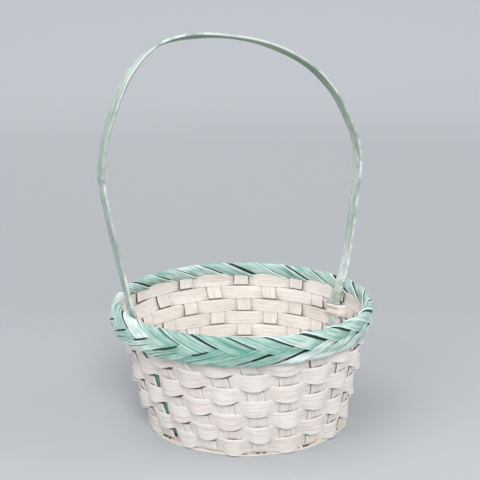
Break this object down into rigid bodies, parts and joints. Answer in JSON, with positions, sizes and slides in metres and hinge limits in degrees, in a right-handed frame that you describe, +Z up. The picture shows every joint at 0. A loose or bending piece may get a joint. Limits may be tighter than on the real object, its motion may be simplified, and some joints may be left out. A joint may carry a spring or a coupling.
{
  "type": "easter basket",
  "caption": "Round basket of flat wood splints woven over upright stakes, with a plaited green rim and a fixed arch handle, open at the top.",
  "frame": {"origin": "centre of the base, on the surface that the basket stands on", "axes": "+Z up; +X and -X towards the two legs of the handle, so the arch stands in the XZ plane; +Y across it"},
  "size_m": [0.2445, 0.2206, 0.3212],
  "materials": {
    "whitewashed_splint": "matte whitewash, thin, with the grain showing",
    "mint_splint": "matte mint paint, dry-brushed with white",
    "sage_bamboo": "matte pale sage paint on bamboo",
    "bare_bamboo": "bare bamboo"
  },
  "bodies": {
    "root": {"base_hoop": "whitewashed_splint", "stake_splint_01": "whitewashed_splint", "stake_splint_02": "whitewashed_splint", "stake_splint_03": "whitewashed_splint", "stake_splint_04": "whitewashed_splint", "stake_splint_05": "whitewashed_splint", "stake_splint_06": "whitewashed_splint", "stake_splint_07": "whitewashed_splint", "stake_splint_08": "whitewashed_splint", "stake_splint_09": "whitewashed_splint", "stake_splint_10": "whitewashed_splint", "stake_splint_11": "whitewashed_splint", "stake_splint_12": "whitewashed_splint", "weaver_1": "whitewashed_splint", "weaver_2": "whitewashed_splint", "weaver_3": "whitewashed_splint", "weaver_4": "whitewashed_splint", "weaver_5": "whitewashed_splint", "weaver_6": "whitewashed_splint", "weaver_7": "whitewashed_splint", "weaver_8": "whitewashed_splint", "rim_hoop": "bare_bamboo", "rim_cane": "bare_bamboo", "rim_splint_01": "mint_splint", "rim_splint_02": "mint_splint", "rim_splint_03": "mint_splint", "rim_splint_04": "mint_splint", "rim_splint_05": "mint_splint", "rim_splint_06": "mint_splint", "rim_splint_07": "mint_splint", "rim_splint_08": "mint_splint", "rim_splint_09": "mint_splint", "rim_splint_10": "mint_splint", "rim_splint_11": "mint_splint", "rim_splint_12": "mint_splint", "rim_splint_13": "mint_splint", "rim_splint_14": "mint_splint", "rim_splint_15": "mint_splint", "rim_splint_16": "mint_splint", "rim_splint_17": "mint_splint", "rim_splint_18": "mint_splint", "rim_splint_19": "mint_splint", "rim_splint_20": "mint_splint", "rim_splint_21": "mint_splint", "rim_splint_22": "mint_splint", "rim_splint_23": "mint_splint", "rim_splint_24": "mint_splint", "handle": "sage_bamboo"}
  },
  "joints": []
}
